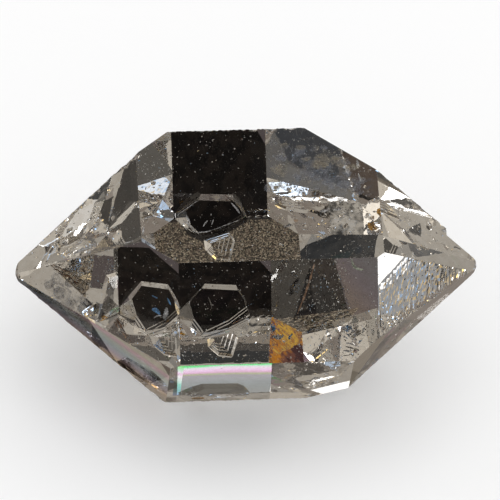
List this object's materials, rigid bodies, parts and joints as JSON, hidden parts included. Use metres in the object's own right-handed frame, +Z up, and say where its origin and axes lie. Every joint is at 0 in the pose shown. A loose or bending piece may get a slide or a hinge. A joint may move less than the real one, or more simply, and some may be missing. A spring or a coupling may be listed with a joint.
{
  "type": "herkimer diamond",
  "caption": "Clear doubly terminated quartz crystal, a squat hexagonal prism with a pyramid at each end, lying on a prism face; shallow stepped imprints below and behind",
  "frame": {"origin": "on the surface that the crystal lies on, below the middle of its bounding box", "axes": "X runs along the crystal's c axis, the long way; Y runs across it from front to back; Z is up, square to the prism face it lies on"},
  "size_m": [0.0238, 0.0154, 0.0115],
  "materials": {
    "quartz": "clear, bright natural crystal faces; IOR 1.55, faint smoky tint"
  },
  "bodies": {
    "root": {"crystal": "quartz"}
  },
  "joints": []
}
